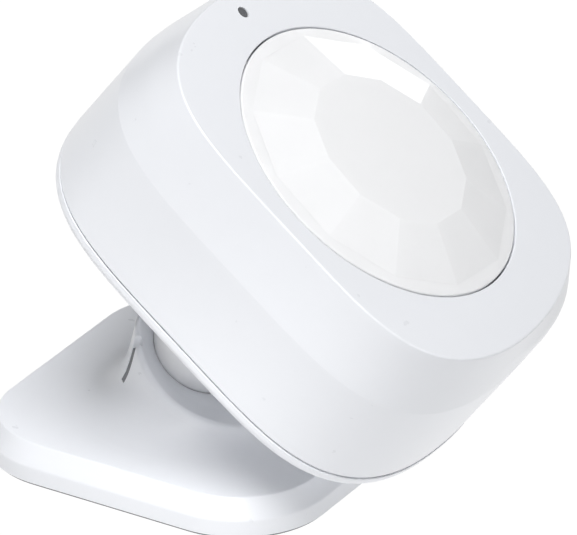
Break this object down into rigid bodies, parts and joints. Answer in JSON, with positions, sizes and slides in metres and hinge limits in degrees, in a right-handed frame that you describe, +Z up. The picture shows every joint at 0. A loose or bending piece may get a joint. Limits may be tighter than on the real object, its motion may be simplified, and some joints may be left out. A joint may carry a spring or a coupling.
{
  "type": "motion sensor",
  "caption": "Tilting motion sensor head with a faceted round lens, carried on a ball that rests in a magnetic dish on a square rounded base.",
  "frame": {"origin": "middle of the underside of the foot pad, on the upright axis through the ball", "axes": "+Z up; the head faces -Y and leans back, turned a few degrees towards +X; X runs across the head"},
  "size_m": [0.0512, 0.0691, 0.0605],
  "materials": {
    "shell": "fine satin moulded",
    "lens_film": "milky smooth",
    "ball_coat": "white coat over steel",
    "steel": "polished",
    "plated": "bright plated",
    "magnet": "nickel plated",
    "pad_rubber": "soft matt",
    "dark_plastic": "matt moulded",
    "tint": "tinted clear",
    "clear": "clear",
    "board": "coated laminate",
    "module": "coated laminate",
    "chip": "matt moulded",
    "ceramic": "fired",
    "brass": "plain",
    "cell": "printed sleeve, no lettering",
    "nylon": "plain",
    "red_plastic": "plain"
  },
  "bodies": {
    "base": {"base_plate": "shell", "dish_pad": "pad_rubber", "base_weight": "steel", "base_screws": "plated", "foot_pad": "pad_rubber"},
    "swivel": {"magnet": "magnet"},
    "ball_stud": {"ball": "ball_coat", "stud": "steel", "friction_washer": "nylon", "stud_clip": "steel"},
    "rear": {"back_cover": "shell", "cover_seal": "pad_rubber", "cell_cushion": "pad_rubber"},
    "front": {"housing": "shell", "lens": "lens_film", "lens_ring": "nylon", "sensor_window": "tint", "light_pipe": "clear", "main_board": "board", "light_sensor": "chip", "status_led": "clear", "pir_can": "plated", "pir_filter": "tint", "pir_element": "ceramic", "pir_leads": "brass", "pir_holder": "nylon", "radio_board": "module", "radio_shield": "plated", "control_chip": "chip", "capacitors": "ceramic", "tact_switch": "dark_plastic", "board_screws": "plated", "battery_tray": "dark_plastic", "cell_a": "cell", "cell_b": "cell", "contact_plates": "plated", "contact_springs": "plated"},
    "button": {"pair_button": "shell"},
    "plunger": {"switch_plunger": "red_plastic"}
  },
  "joints": [
    {"name": "turn", "type": "hinge", "parent": "base", "child": "swivel", "pos_m": [0, 0, 0.0134], "axis": [0, 0, 1], "range_deg": [-52.2, 37.8]},
    {"name": "lean", "type": "hinge", "parent": "swivel", "child": "ball_stud", "pos_m": [0, 0, 0.0134], "axis": [0.9921, 0.1253, 0], "range_deg": [-55, 2]},
    {"name": "spin", "type": "hinge", "parent": "ball_stud", "child": "rear", "pos_m": [0.00098, -0.00774, 0.02342], "axis": [0.077, -0.6094, 0.7891], "range_deg": [-90, 90]},
    {"name": "housing_off", "type": "slide", "parent": "rear", "child": "front", "axis": [0.077, -0.6094, 0.7891], "range_m": [0, 0.032]},
    {"name": "pair_press", "type": "slide", "parent": "rear", "child": "button", "axis": [0.077, -0.6094, 0.7891], "range_m": [0, 0.0003], "stiffness_N_per_m": 500, "springref_m": -0.0017},
    {"name": "plunger_press", "type": "slide", "parent": "front", "child": "plunger", "axis": [0.077, -0.6094, 0.7891], "range_m": [0, 0.0003]}
  ],
  "couplings": [
    {"joint": "plunger_press", "follows": "pair_press", "ratio": 1}
  ]
}
